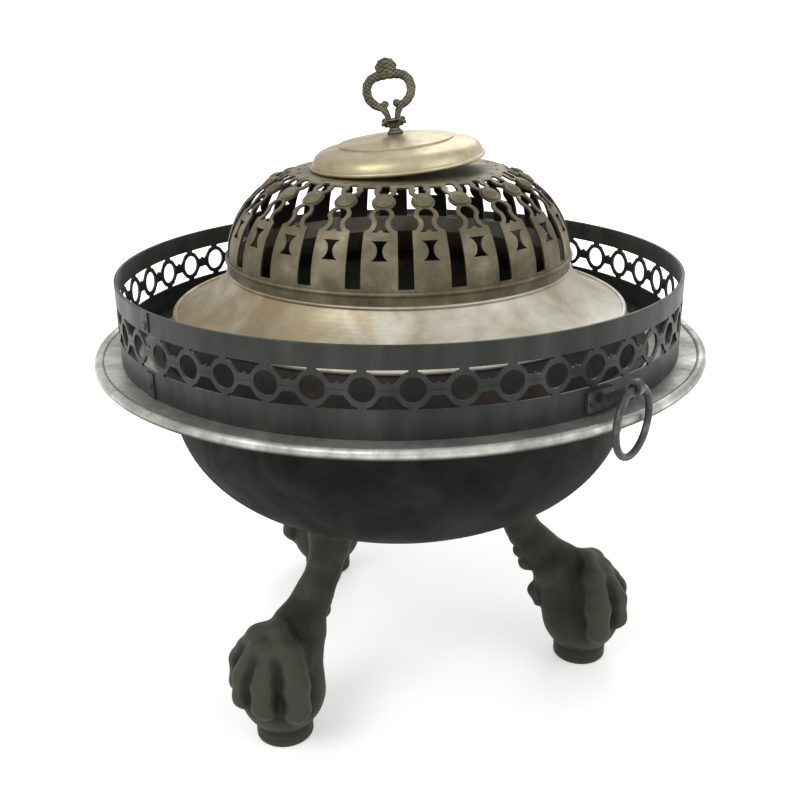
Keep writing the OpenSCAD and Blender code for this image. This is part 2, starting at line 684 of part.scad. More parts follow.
module lid_dome() color(brass_worn) {
    foot_mid = 0.27;
    bell_mid = 0.56;
    waist_mid = 0.75;
    difference() {
        dome_shell();
        for (i = [0:panel_count - 1]) {
            a = panel_bearing + 360 * i / panel_count;
            b = a + 180 / panel_count;
            through_dome(waist_q, a) hourglass();
            through_dome(bell_mid, a) bell(bell_mid);
            through_dome(arch_q, a) trefoil();
            through_dome(foot_mid, b) foot_slot(foot_mid);
            through_dome(waist_mid, b) waist_slot(waist_mid);
            spandrel(b);
        }
    }
    for (i = [0:panel_count - 1]) on_dome(boss_q, panel_bearing + 360 * i / panel_count)
        translate([0, 0, -boss_sink]) cylinder(r1 = boss_r - boss_step, r2 = boss_r - 2 * boss_step,
            h = boss_sink + boss_rise, $fn = 48);
}

// a half-round wire soldered round the foot of the dome
module base_bead() color(brass_cap) rotate_extrude($fn = round_fn) difference() {
    translate([dome_r + face_gap, dome_z]) circle(base_bead_r, $fn = 40);
    translate([0, dome_z - 2 * base_bead_r]) square([dome_r + 0.02, 4 * base_bead_r]);
}

// the cap and everything on it lean together
module on_cap() rotate([0, 0, cap_low_bearing - 90]) translate([0, 0, cap_z]) rotate([0, cap_tilt, 0])
    rotate([0, 0, 90 - cap_low_bearing]) children();

module cap_section() difference() {
    union() {
        arch_half(cap_r, cap_bowl_h, cap_shoulder_r);
        intersection() {
            translate([0, cap_step]) arch_half(cap_r, cap_bowl_h, cap_shoulder_r);
            square([cap_disc_r, 2 * cap_h]);
        }
    }
    arch_half(cap_r - cap_t, cap_bowl_h - cap_t, cap_shoulder_r - cap_t);
    square([shank_r + slip, 2 * cap_h]);
}

module cap() color(brass_cap) on_cap() rotate_extrude($fn = round_fn) cap_section();

module cap_rim_bead() color(brass_cap) on_cap() rotate_extrude($fn = round_fn) difference() {
    translate([cap_r, 0]) circle(cap_bead_r, $fn = 40);
    translate([0, -2 * cap_bead_r]) square([cap_r + 0.02, 4 * cap_bead_r]);
}

// the cast handle stands on the cap: a turned stem, four leaves, a loop of round bar and a shell
stem_h = 19.5;
bar_sides = 12;
bar_steps = 3;
washer_z = -(cap_z - crown_z + lid_t) - washer_r * sin(cap_tilt) - 0.1;

module stem_section() {
    shank_len = cap_h - washer_z + nut_h + washer_t + 4;
    polygon([[0, 0], [9.5, 0], [9.5, 1.6], [8, 2.6], [5.4, 4], [4.8, 7], [6.4, 8], [6.4, 9.6], [4.8, 10.8],
        [5, 13], [7.4, 16], [8, stem_h - 1.6], [6.6, stem_h], [0, stem_h]]);
    translate([0, -shank_len]) square([shank_r, shank_len + 1]);
}

// a leaf curls out from the stem: distance from the axis, height, half width, thickness
leaf_spots = [[4.6, 9.4, 2.6, 1.2], [8.6, 12, 3.2, 1], [11.3, 15.8, 2.2, 1], [12.4, 19, 1.4, 1.4]];
module leaf_spot(v) translate([v[0], 0, v[1]]) scale([v[3], v[2], v[3]]) sphere(1, $fn = 10);
module leaf() for (i = [0:len(leaf_spots) - 2]) hull() {
    leaf_spot(leaf_spots[i]);
    leaf_spot(leaf_spots[i + 1]);
}

// half the loop's bar from the stem to the top: shares of its reach, of its rise and of its radius
loop_stations = [[0.24, 0.28, 0.75], [0.29, 0.36, 0.85], [0.45, 0.43, 0.95], [0.78, 0.53, 1],
    [0.99, 0.665, 1], [0.98, 0.8, 1], [0.79, 0.91, 1], [0.43, 0.985, 1.03], [0, 1, 1.06],
    [-0.43, 0.985, 1.03]];
function loop_station(i) = let (v = loop_stations[max(0, min(len(loop_stations) - 1, i))])
    [v[0] * loop_reach, v[1] * loop_rise, v[2] * loop_bar_r];
function loop_level(k) = let (i = floor(k / bar_steps), t = k / bar_steps - i)
    spline(loop_station(i - 1), loop_station(i), loop_station(i + 1), loop_station(i + 2), t);
function bar_ring(p, q, r) = let (d = [q[0] - p[0], q[1] - p[1]], n = [-d[1], d[0]] / norm(d))
    [for (j = [0:bar_sides - 1]) let (a = 360 * j / bar_sides)
        [(p[0] + q[0]) / 2 + r * cos(a) * n[0], r * sin(a), (p[1] + q[1]) / 2 + r * cos(a) * n[1]]];

module loop() {
    last = (len(loop_stations) - 2) * bar_steps;
    half = [for (k = [0:last]) loop_level(k)];
    path = concat(half, [for (k = [last - 1:-1:0]) [-half[k][0], half[k][1], half[k][2]]]);
    rings = [for (k = [0:len(path) - 2])
        each bar_ring(path[k], path[k + 1], (path[k][2] + path[k + 1][2]) / 2)];
    n = bar_sides;
    top = (len(path) - 2) * n;
    faces = concat(
        [[for (j = [n - 1:-1:0]) j]],
        [for (k = [0:len(path) - 3], j = [0:n - 1]) let (b = k * n, c = (j + 1) % n)
            [b + j, b + c, b + n + c, b + n + j]],
        [[for (j = [0:n - 1]) top + j]]);
    polyhedron(points = rings, faces = faces, convexity = 6);
}

// a scallop: ribs that spread from a hinge over the loop's top
module shell() {
    base = loop_rise + loop_bar_r;
    rib_r = 2.3;
    for (i = [-3:3]) hull() {
        translate([0, 0, base]) sphere(rib_r, $fn = 10);
        translate([0, 0, base]) rotate([0, i * 26, 0])
            translate([0, 0, shell_h - rib_r - abs(i) * shell_h / 12]) sphere(rib_r, $fn = 10);
    }
}

module handle() color(brass_old) on_cap() translate([0, 0, cap_h]) {
    rotate_extrude($fn = 24) stem_section();
    for (i = [0:3]) rotate([0, 0, 45 + 90 * i]) leaf();
    for (s = [-1, 1]) translate([s * 2.4, 0, stem_h + 1.4]) sphere(2.4, $fn = 12);
    loop();
    shell();
}

module crown_washer() color(iron) on_cap() translate([0, 0, washer_z - washer_t]) difference() {
    cylinder(r = washer_r, h = washer_t, $fn = 64);
    translate([0, 0, -1]) cylinder(r = shank_r + slip, h = washer_t + 2, $fn = 64);
}

module crown_nut() color(iron) on_cap() translate([0, 0, washer_z - washer_t - nut_h]) difference() {
    cylinder(r = nut_r, h = nut_h, $fn = 6);
    translate([0, 0, -1]) cylinder(r = shank_r + slip, h = nut_h + 2, $fn = 64);
}

pan();
rim_wire();
leg_left_front();
leg_right();
leg_back();
leg_rivets();
gallery();
gallery_rivets();
seam_strap();
seam_rivets();
eye_right();
eye_left();
eye_rivets();
ring_right();
ring_left();
ember_pan();
lid_skirt();
lid_dome();
base_bead();
cap();
cap_rim_bead();
handle();
crown_washer();
crown_nut();
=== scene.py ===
"""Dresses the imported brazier: materials for every piece, and finer forms for some of them.

The pierced band, the cast legs, the cast handle and the dome's bosses are worked out in millimetres and
turned into metres at the end. The brazier's axis is Z, its front is -Y, and a bearing is counted in
degrees from the front towards +X.
"""

import bmesh
import bpy
import numpy as np
from mathutils import Matrix


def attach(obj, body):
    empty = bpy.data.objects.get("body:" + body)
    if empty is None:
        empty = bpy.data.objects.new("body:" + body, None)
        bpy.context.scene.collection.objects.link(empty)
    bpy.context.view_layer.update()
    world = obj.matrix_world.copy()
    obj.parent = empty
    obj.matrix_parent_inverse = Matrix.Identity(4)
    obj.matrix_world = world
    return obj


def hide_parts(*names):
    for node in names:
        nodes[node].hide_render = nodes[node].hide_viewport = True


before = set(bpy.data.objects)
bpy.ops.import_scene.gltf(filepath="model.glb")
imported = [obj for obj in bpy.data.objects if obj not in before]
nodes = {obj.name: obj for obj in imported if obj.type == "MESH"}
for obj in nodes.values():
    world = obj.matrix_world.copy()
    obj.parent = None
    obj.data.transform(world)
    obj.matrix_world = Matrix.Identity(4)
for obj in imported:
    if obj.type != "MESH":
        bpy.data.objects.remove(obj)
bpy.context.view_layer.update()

MM = 0.001

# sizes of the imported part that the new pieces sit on
LEG_BEARINGS = {"leg_left_front": -37.5, "leg_right": 82.5, "leg_back": 209.5}
FOOT_CIRCLE_R = 196 * MM
BOWL_CROWN_R = 326.35 * MM      # the bottom of the bowl is part of a sphere
BOWL_CROWN_Z = 495.35 * MM
DOME_Z = 449.7 * MM
DOME_SHOULDER_R = 78 * MM
DOME_CROWN_R = 261.7 * MM
DOME_DROP = 160.7 * MM
DOME_JOIN = np.radians(61.02)
PANELS = 23
PANEL_BEARING = -5.8            # the first panel's, in degrees
BOSS_AT = 87.9 * MM             # from the dome's base up to a boss's centre, along the sheet
CAP_Z = 538.61 * MM
CAP_H = 24 * MM
CAP_TILT = 4.8                  # the cap leans by this many degrees towards its low bearing
CAP_LOW_BEARING = -75
HANDLE_LEAN = 3                 # and the handle leans on it by so many more, to the left
BAND_R = 274                    # the pierced band, in mm
BAND_T = 2
BAND_FOOT_Z = 363
BAND_TOP_Z = 440
FRIEZE_Z = 404.3
FRIEZE_HALF = 16.3
RINGS = 44
RING_BEARING = 2                # the first ring's, in degrees
SOOT_TOP_Z = 0.3565             # the bowl's soot ends between these heights, in metres
FLANGE_LOW_Z = 0.3610
SPIN_PITCH = 3.2                # between the spinning rings on the skirt, in mm
OUTWARD_DROP = 20 * MM          # the lines that tell the dome's outside start this far under its foot


# small tools: colour, nodes, meshes

def linear(hex_colour):
    """An sRGB hex colour as linear RGBA: low channels are divided by 12.92, the rest go by a power of 2.4."""
    srgb = np.array([int(hex_colour[i:i + 2], 16) / 255 for i in (1, 3, 5)])
    channels = np.where(srgb <= 0.04045, srgb / 12.92, ((srgb + 0.055) / 1.055) ** 2.4)
    return (*channels.tolist(), 1.0)


def add(tree, kind, settings=None, **sockets):
    """Adds one node, with its settings and its links.

    Settings are its own properties, or a ramp's stops of position and hex colour. A socket's name, or its
    number after a _, takes a value or another node's output.
    """
    node = tree.nodes.new("ShaderNode" + kind)
    for name, value in (settings or {}).items():
        if name == "stops":
            while len(node.color_ramp.elements) < len(value):
                node.color_ramp.elements.new(0.5)
            for element, (position, colour) in zip(node.color_ramp.elements, value):
                element.position = position
                element.color = linear(colour)
        else:
            setattr(node, name, value)
    for name, value in sockets.items():
        socket = node.inputs[int(name[1:])] if name[0] == "_" else node.inputs[name.replace("_", " ")]
        if isinstance(value, bpy.types.NodeSocket):
            tree.links.new(value, socket)
        else:
            socket.default_value = value
    return node


def per_metre(mm):
    """A texture's scale, from the size of its marks in millimetres."""
    return 1000 / mm


def new_material(name):
    """An empty material with its shader: gives the tree, the shader and the Object coordinates."""
    material = bpy.data.materials.new(name)
    material.use_nodes = True
    tree = material.node_tree
    tree.nodes.clear()
    shader = add(tree, "BsdfPrincipled")
    add(tree, "OutputMaterial", Surface=shader.outputs["BSDF"])
    where = add(tree, "TexCoord").outputs["Object"]
    return material, tree, shader, where


def ring_faces(rows, columns, closed=False):
    """Quads between neighbouring points of a grid of rings; closed joins its last ring to its first."""
    last = rows if closed else rows - 1
    i, j = np.meshgrid(np.arange(last), np.arange(columns), indexing="ij")
    i2 = (i + 1) % rows
    j2 = (j + 1) % columns
    quads = np.stack([i * columns + j, i * columns + j2, i2 * columns + j2, i2 * columns + j], axis=-1)
    return quads.reshape(-1, 4)


def tube_mesh(grid):
    """Points and faces of a closed skin: a grid of rings, with a pole at each end."""
    rows, columns = grid.shape[:2]
    points = np.concatenate([grid.reshape(-1, 3), grid[0].mean(axis=0)[None], grid[-1].mean(axis=0)[None]])
    low, high = rows * columns, rows * columns + 1
    j = np.arange(columns)
    j2 = (j + 1) % columns
    first = np.stack([np.full(columns, low), j2, j], axis=-1)
    final = np.stack([np.full(columns, high), low - columns + j, low - columns + j2], axis=-1)
    return points, ring_faces(rows, columns).tolist() + first.tolist() + final.tolist()


def joined(parts):
    """Several pairs of points and faces as one pair."""
    points, faces, start = [], [], 0
    for some_points, some_faces in parts:
        points.append(some_points)
        faces += [[start + k for k in face] for face in some_faces]
        start += len(some_points)
    return np.concatenate(points), faces


def make_piece(name, mesh_parts, body, material, attributes=None, crease=180):
    """An object at the origin from points and faces, riding on a body, with its normals outwards.

    It is shaded smooth, but for edges that turn by more than crease degrees. Attributes go by name, with
    a value for each point.
    """
    points, faces = mesh_parts
    mesh = bpy.data.meshes.new(name)
    mesh.from_pydata(points.tolist(), [], faces)
    for label, values in (attributes or {}).items():
        mesh.attributes.new(label, "FLOAT", "POINT").data.foreach_set("value", values.astype(np.float32))
    mesh.polygons.foreach_set("use_smooth", np.ones(len(faces), dtype=bool))
    mesh.materials.append(material)
    mesh.validate()
    shell = bmesh.new()
    shell.from_mesh(mesh)
    bmesh.ops.recalc_face_normals(shell, faces=shell.faces)
    shell.to_mesh(mesh)
    shell.free()
    mesh.set_sharp_from_angle(angle=np.radians(crease))
    mesh.update()
    piece = bpy.data.objects.new(name, mesh)
    bpy.context.scene.collection.objects.link(piece)
    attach(piece, body)
    return piece


def turned(points, bearing):
    """Points built on the +X side, turned about the axis to a bearing."""
    a = np.radians(bearing - 90)
    turn = np.array([[np.cos(a), -np.sin(a), 0], [np.sin(a), np.cos(a), 0], [0, 0, 1]])
    return points @ turn.T


# materials

def spun_sheet_iron():
    """Spun sheet iron: the flange is bright in blotches, partly wear and partly painted highlight; the bowl
    is black with old soot.
    """
    material, tree, shader, where = new_material("spun_sheet_iron")
    split = add(tree, "SeparateXYZ", Vector=where)
    on_flange = add(tree, "MapRange", {"interpolation_type": "SMOOTHSTEP"}, Value=split.outputs["Z"],
                    From_Min=SOOT_TOP_Z, From_Max=FLANGE_LOW_Z)
    blotch = add(tree, "TexNoise", Vector=where, Scale=per_metre(55), Detail=5.0, Roughness=0.62,
                 Distortion=0.4)
    speck = add(tree, "TexNoise", Vector=where, Scale=per_metre(7), Detail=4.0, Roughness=0.7)
    # the flange's pale blotches: partly wear, partly painted highlight
    worn = add(tree, "ValToRGB", {"stops": [
        (0.30, "#7d7e79"), (0.46, "#a0a19b"), (0.58, "#bcbdb6"), (0.72, "#dadad4")]},
        Fac=blotch.outputs["Fac"])
    grain = add(tree, "ValToRGB", {"stops": [(0.35, "#dddddd"), (0.62, "#ffffff")]},
                Fac=speck.outputs["Fac"])
    flange = add(tree, "Mix", {"data_type": "RGBA", "blend_type": "MULTIPLY"}, _0=0.75,
                 _6=worn.outputs["Color"], _7=grain.outputs["Color"])
    soot = add(tree, "ValToRGB", {"stops": [
        (0.30, "#171916"), (0.50, "#1e201d"), (0.68, "#282a26")]}, Fac=blotch.outputs["Fac"])
    flake = add(tree, "ValToRGB", {"stops": [(0.66, "#000000"), (0.74, "#c4c4c4")]},
                Fac=speck.outputs["Fac"])
    bowl = add(tree, "Mix", {"data_type": "RGBA"}, _0=flake.outputs["Color"],
               _6=soot.outputs["Color"], _7=linear("#3a3c38"))
    colour = add(tree, "Mix", {"data_type": "RGBA"}, _0=on_flange.outputs["Result"],
                 _6=bowl.outputs[2], _7=flange.outputs[2])
    metal = add(tree, "MapRange", Value=on_flange.outputs["Result"], To_Min=0.1, To_Max=0.85)
    matt = add(tree, "MapRange", Value=blotch.outputs["Fac"], From_Min=0.3, From_Max=0.7, To_Min=0.86,
               To_Max=0.68)
    rough = add(tree, "Math", {"operation": "MULTIPLY_ADD"}, _0=on_flange.outputs["Result"], _1=-0.33,
                _2=matt.outputs["Result"])
    bump = add(tree, "Bump", Strength=0.35, Distance=0.0008, Height=speck.outputs["Fac"])
    shader.inputs["Specular IOR Level"].default_value = 0.15
    tree.links.new(colour.outputs[2], shader.inputs["Base Color"])
    tree.links.new(metal.outputs["Result"], shader.inputs["Metallic"])
    tree.links.new(rough.outputs[0], shader.inputs["Roughness"])
    tree.links.new(bump.outputs["Normal"], shader.inputs["Normal"])
    return material


def blackened_strip_iron():
    """Rolled strip iron, blackened: even satin grey-black with faint upright rub marks and scuffs."""
    material, tree, shader, where = new_material("blackened_strip_iron")
    long_marks = add(tree, "Mapping", Vector=where, Scale=(1, 1, 0.25))
    haze = add(tree, "TexNoise", Vector=long_marks.outputs["Vector"], Scale=per_metre(26), Detail=5.0,
               Roughness=0.6)
    scuff = add(tree, "TexNoise", Vector=where, Scale=per_metre(5), Detail=4.0, Roughness=0.75)
    base = add(tree, "ValToRGB", {"stops": [
        (0.32, "#272925"), (0.5, "#30322e"), (0.68, "#3b3d39")]}, Fac=haze.outputs["Fac"])
    spot = add(tree, "ValToRGB", {"stops": [(0.62, "#000000"), (0.76, "#bcbcbc")]},
               Fac=scuff.outputs["Fac"])
    colour = add(tree, "Mix", {"data_type": "RGBA"}, _0=spot.outputs["Color"],
                 _6=base.outputs["Color"], _7=linear("#4a4c47"))
    rough = add(tree, "MapRange", Value=haze.outputs["Fac"], From_Min=0.3, From_Max=0.7, To_Min=0.5,
                To_Max=0.38)
    bump = add(tree, "Bump", Strength=0.2, Distance=0.0006, Height=scuff.outputs["Fac"])
    shader.inputs["Metallic"].default_value = 0.3
    shader.inputs["Specular IOR Level"].default_value = 0.3
    tree.links.new(colour.outputs[2], shader.inputs["Base Color"])
    tree.links.new(rough.outputs["Result"], shader.inputs["Roughness"])
    tree.links.new(bump.outputs["Normal"], shader.inputs["Normal"])
    return material


def forged_iron():
    """Forged round iron, dark scale rubbed smooth where hands hold it: dark with a soft shine."""
    material, tree, shader, where = new_material("forged_iron")
    rub = add(tree, "TexNoise", Vector=where, Scale=per_metre(14), Detail=4.0, Roughness=0.65)
    base = add(tree, "ValToRGB", {"stops": [
        (0.3, "#343633"), (0.52, "#454845"), (0.7, "#666965")]}, Fac=rub.outputs["Fac"])
    rough = add(tree, "MapRange", Value=rub.outputs["Fac"], From_Min=0.3, From_Max=0.7, To_Min=0.55,
                To_Max=0.32)
    bump = add(tree, "Bump", Strength=0.4, Distance=0.0006, Height=rub.outputs["Fac"])
    shader.inputs["Metallic"].default_value = 0.6
    tree.links.new(base.outputs["Color"], shader.inputs["Base Color"])
    tree.links.new(rough.outputs["Result"], shader.inputs["Roughness"])
    tree.links.new(bump.outputs["Normal"], shader.inputs["Normal"])
    return material


def burnt_sheet_iron():
    """Sheet iron that has carried fire: dull brown-black soot with patches of orange-brown rust."""
    material, tree, shader, where = new_material("burnt_sheet_iron")
    patch = add(tree, "TexNoise", Vector=where, Scale=per_metre(38), Detail=6.0, Roughness=0.68)
    base = add(tree, "ValToRGB", {"stops": [
        (0.36, "#1d1b19"), (0.52, "#282522"), (0.60, "#3a2f27"), (0.72, "#503d2f")]},
        Fac=patch.outputs["Fac"])
    bump = add(tree, "Bump", Strength=0.5, Distance=0.001, Height=patch.outputs["Fac"])
    shader.inputs["Metallic"].default_value = 0.15
    shader.inputs["Roughness"].default_value = 0.75
    tree.links.new(base.outputs["Color"], shader.inputs["Base Color"])
    tree.links.new(bump.outputs["Normal"], shader.inputs["Normal"])
    return material


def worn_sheet_brass():
    """Thin sheet brass worn nearly silver: pale cream with tan stains, paler towards its right as a painted
    highlight, and faint spinning rings.
    """
    material, tree, shader, where = new_material("worn_sheet_brass")
    split = add(tree, "SeparateXYZ", Vector=where)
    stain = add(tree, "TexNoise", Vector=where, Scale=per_metre(95), Detail=4.0, Roughness=0.55,
                Distortion=0.6)
    cloud = add(tree, "TexNoise", Vector=where, Scale=per_metre(24), Detail=6.0, Roughness=0.66)
    # paler towards +X: a painted highlight on the skirt's right side
    painted_highlight_to_right = add(tree, "MapRange", Value=split.outputs["X"], From_Min=-0.2, From_Max=0.2)
    weight = add(tree, "Math", {"operation": "MULTIPLY_ADD"}, _0=painted_highlight_to_right.outputs["Result"], _1=0.28,
                 _2=stain.outputs["Fac"])
    base = add(tree, "ValToRGB", {"stops": [
        (0.42, "#8f7f63"), (0.56, "#9f937a"), (0.68, "#b9b2a0"), (0.84, "#c9c6ba")]},
        Fac=weight.outputs["Value"])
    mottle = add(tree, "ValToRGB", {"stops": [
        (0.32, "#dfdfdf"), (0.58, "#ffffff")]}, Fac=cloud.outputs["Fac"])
    colour = add(tree, "Mix", {"data_type": "RGBA", "blend_type": "MULTIPLY"}, _0=0.8,
                 _6=base.outputs["Color"], _7=mottle.outputs["Color"])
    across = add(tree, "VectorMath", {"operation": "MULTIPLY"}, _0=where, _1=(1, 1, 0))
    radius = add(tree, "VectorMath", {"operation": "LENGTH"}, _0=across.outputs["Vector"])
    turns = add(tree, "Math", {"operation": "MULTIPLY"}, _0=radius.outputs["Value"],
                _1=2 * np.pi * per_metre(SPIN_PITCH))
    rings = add(tree, "Math", {"operation": "SINE"}, _0=turns.outputs[0])
    height = add(tree, "Math", {"operation": "MULTIPLY_ADD"}, _0=rings.outputs[0], _1=0.05,
                 _2=cloud.outputs["Fac"])
    rough = add(tree, "MapRange", Value=cloud.outputs["Fac"], From_Min=0.3, From_Max=0.7, To_Min=0.56,
                To_Max=0.42)
    bump = add(tree, "Bump", Strength=0.3, Distance=0.001, Height=height.outputs[0])
    shader.inputs["Metallic"].default_value = 0.65
    tree.links.new(colour.outputs[2], shader.inputs["Base Color"])
    tree.links.new(rough.outputs["Result"], shader.inputs["Roughness"])
    tree.links.new(bump.outputs["Normal"], shader.inputs["Normal"])
    return material


def pierced_sheet_brass():
    """Pierced sheet brass: olive-brown tarnish, rubbed paler outside, and painted shade of near black on its
    inner face.
    """
    material, tree, shader, where = new_material("pierced_sheet_brass")
    facing = add(tree, "TexCoord").outputs["Normal"]
    from_core = add(tree, "VectorMath", {"operation": "SUBTRACT"}, _0=where,
                    _1=(0, 0, DOME_Z - OUTWARD_DROP))
    outward = add(tree, "VectorMath", {"operation": "DOT_PRODUCT"}, _0=facing,
                  _1=from_core.outputs["Vector"])
    outside = add(tree, "MapRange", Value=outward.outputs["Value"], From_Min=-0.02, From_Max=0.05)
    rub = add(tree, "TexNoise", Vector=where, Scale=per_metre(34), Detail=5.0, Roughness=0.62)
    speck = add(tree, "TexNoise", Vector=where, Scale=per_metre(4), Detail=4.0, Roughness=0.7)
    tarnish = add(tree, "ValToRGB", {"stops": [
        (0.32, "#554e3a"), (0.48, "#67604a"), (0.62, "#7d755e"), (0.74, "#9b937b")]},
        Fac=rub.outputs["Fac"])
    grain = add(tree, "ValToRGB", {"stops": [(0.34, "#e2e2e2"), (0.6, "#ffffff")]},
                Fac=speck.outputs["Fac"])
    outer = add(tree, "Mix", {"data_type": "RGBA", "blend_type": "MULTIPLY"}, _0=0.7,
                _6=tarnish.outputs["Color"], _7=grain.outputs["Color"])
    # the inner face is near black: painted shade for the dark inside seen through the piercings
    colour = add(tree, "Mix", {"data_type": "RGBA"}, _0=outside.outputs["Result"],
                 _6=linear("#1f1c18"), _7=outer.outputs[2])
    metal = add(tree, "MapRange", Value=outside.outputs["Result"], To_Min=0.1, To_Max=0.55)
    rough = add(tree, "MapRange", Value=rub.outputs["Fac"], From_Min=0.3, From_Max=0.7, To_Min=0.62,
                To_Max=0.5)
    bump = add(tree, "Bump", Strength=0.3, Distance=0.0006, Height=speck.outputs["Fac"])
    tree.links.new(colour.outputs[2], shader.inputs["Base Color"])
    tree.links.new(metal.outputs["Result"], shader.inputs["Metallic"])
    tree.links.new(rough.outputs["Result"], shader.inputs["Roughness"])
    tree.links.new(bump.outputs["Normal"], shader.inputs["Normal"])
    return material


def spun_cap_brass():
    """Spun brass, satin: warm straw with pale blotches, darker on its left and paler on its right, which is a
    painted highlight.
    """
    material, tree, shader, where = new_material("spun_cap_brass")
    split = add(tree, "SeparateXYZ", Vector=where)
    bloom = add(tree, "TexNoise", Vector=where, Scale=per_metre(60), Detail=4.0, Roughness=0.5,
                Distortion=0.5)
    cloud = add(tree, "TexNoise", Vector=where, Scale=per_metre(11), Detail=5.0, Roughness=0.65)
    # paler towards +X: a painted highlight on the cap's right side
    across = add(tree, "MapRange", Value=split.outputs["X"], From_Min=-0.09, From_Max=0.09)
    weight = add(tree, "Math", {"operation": "MULTIPLY_ADD"}, _0=across.outputs["Result"], _1=0.35,
                 _2=bloom.outputs["Fac"])
    base = add(tree, "ValToRGB", {"stops": [
        (0.44, "#8c7f62"), (0.58, "#a5987a"), (0.72, "#b5aa8a"), (0.9, "#c2bca0")]},
        Fac=weight.outputs["Value"])
    mottle = add(tree, "ValToRGB", {"stops": [(0.34, "#ececec"), (0.6, "#ffffff")]},
                 Fac=cloud.outputs["Fac"])
    colour = add(tree, "Mix", {"data_type": "RGBA", "blend_type": "MULTIPLY"}, _0=0.8,
                 _6=base.outputs["Color"], _7=mottle.outputs["Color"])
    rough = add(tree, "MapRange", Value=cloud.outputs["Fac"], From_Min=0.3, From_Max=0.7, To_Min=0.48,
                To_Max=0.36)
    bump = add(tree, "Bump", Strength=0.15, Distance=0.0006, Height=cloud.outputs["Fac"])
    shader.inputs["Metallic"].default_value = 0.7
    tree.links.new(colour.outputs[2], shader.inputs["Base Color"])
    tree.links.new(rough.outputs["Result"], shader.inputs["Roughness"])
    tree.links.new(bump.outputs["Normal"], shader.inputs["Normal"])
    return material


def patinated_casting(name, dark, middle, light, metallic, roughness, shine, grit_mm):
    """Sand-cast metal with a patina: darker in its hollows, paler on its ridges, with a sandy grain."""
    material, tree, shader, where = new_material(name)
    relief = add(tree, "Attribute", {"attribute_name": "relief"}).outputs["Fac"]
    cloud = add(tree, "TexNoise", Vector=where, Scale=per_metre(grit_mm * 14), Detail=5.0, Roughness=0.6)
    grit = add(tree, "TexNoise", Vector=where, Scale=per_metre(grit_mm), Detail=3.0, Roughness=0.6)
    height = add(tree, "Math", {"operation": "MULTIPLY_ADD"}, _0=cloud.outputs["Fac"], _1=0.7, _2=relief)
    base = add(tree, "ValToRGB", {"stops": [
        (0.55, dark), (0.83, middle), (1.0, light)]}, Fac=height.outputs[0])
    grain = add(tree, "ValToRGB", {"stops": [(0.3, "#e1e1e1"), (0.65, "#ffffff")]}, Fac=grit.outputs["Fac"])
    colour = add(tree, "Mix", {"data_type": "RGBA", "blend_type": "MULTIPLY"}, _0=0.7,
                 _6=base.outputs["Color"], _7=grain.outputs["Color"])
    bump = add(tree, "Bump", Strength=0.35, Distance=0.0008, Height=grit.outputs["Fac"])
    shader.inputs["Metallic"].default_value = metallic
    shader.inputs["Roughness"].default_value = roughness
    shader.inputs["Specular IOR Level"].default_value = shine
    tree.links.new(colour.outputs[2], shader.inputs["Base Color"])
    tree.links.new(bump.outputs["Normal"], shader.inputs["Normal"])
    return material


pan_iron = spun_sheet_iron()
strip_iron = blackened_strip_iron()
handle_iron = forged_iron()
burnt_iron = burnt_sheet_iron()
skirt_brass = worn_sheet_brass()
dome_brass = pierced_sheet_brass()
cap_brass = spun_cap_brass()
leg_iron = patinated_casting("cast_iron_olive_patina", "#22231d", "#34352c", "#42433a",
                             metallic=0.1, roughness=0.6, shine=0.2, grit_mm=2.2)
cast_brass = patinated_casting("cast_brass_brown_patina", "#2f2d21", "#504d3d", "#7c7865",
                               metallic=0.5, roughness=0.5, shine=0.4, grit_mm=0.9)

FINISHES = {
    pan_iron: ["pan"],
    strip_iron: ["gallery", "seam_strap", "gallery_rivets", "seam_rivets", "eye_rivets", "leg_rivets",
                 "rim_wire"],
    handle_iron: ["eye_right", "eye_left", "ring_right", "ring_left"],
    burnt_iron: ["ember_pan", "crown_washer", "crown_nut"],
    skirt_brass: ["lid_skirt"],
    dome_brass: ["lid_dome", "base_bead"],
    cap_brass: ["cap", "cap_rim_bead"],
}
for material, names in FINISHES.items():
    for name in names:
        for place in nodes[name].material_slots:
            place.material = material


# the pierced band: a frieze of rings and bridges between two strips, in mm

RING_HOLE_R = 10.5
RING_R = 14.8
SHOULDER = (8, 12.45)           # where a ring's outline turns from its circle into a straight shoulder
BRIDGE_START = (14.6, 4.4)      # where the shoulder meets the flat edge of the bridge
NECK_HALF = 3.6                 # half the width of the neck between a ring and a strip
BUMP_R = 1.6                    # the half circle on the middle of each bridge
LAP = 0.3                       # how far the frieze runs into the strips, and its halves into each other
HEM_H, HEM_T = 7, 1.2           # the top edge is folded inwards
FOOT_W = 14                     # the bottom edge is folded inwards to lie on the flange
EDGE = 0.4
BAND_COLUMNS = 528              # twelve to each ring


def ring_opening(u):
    """Half height of the hole at u mm from a ring's centre: the root of the radius squared less u squared.

    Outside the hole the two halves of the frieze run into each other by the lap.
    """
    return np.sqrt(np.maximum(RING_HOLE_R ** 2 - u ** 2, 0)) - LAP * (np.abs(u) >= RING_HOLE_R)


def ring_outline(u, pitch, bump):
    """Half height of the metal at u mm from a ring's centre.

    It is the ring's circle as far as the shoulder, then a straight line down to the flat bridge. A neck
    joins the ring to the strip, and a small half circle may stand on the middle of the bridge.
    """
    u = np.abs(u)
    circle = np.sqrt(np.maximum(RING_R ** 2 - u ** 2, 0))
    line = np.interp(u, [SHOULDER[0], BRIDGE_START[0]], [SHOULDER[1], BRIDGE_START[1]])
    half = np.where(u < SHOULDER[0], circle, line)
    half = np.where(u < NECK_HALF, FRIEZE_HALF + LAP, half)
    return half + bump * np.sqrt(np.maximum(BUMP_R ** 2 - (u - pitch / 2) ** 2, 0))


def round_the_axis(section, angle):
    """Points of a section of radius and height, one row for each angle about the axis, in metres."""
    return np.stack([section[..., 0] * np.sin(angle), -section[..., 0] * np.cos(angle),
                     section[..., 1] * np.ones_like(angle)], axis=-1) * MM


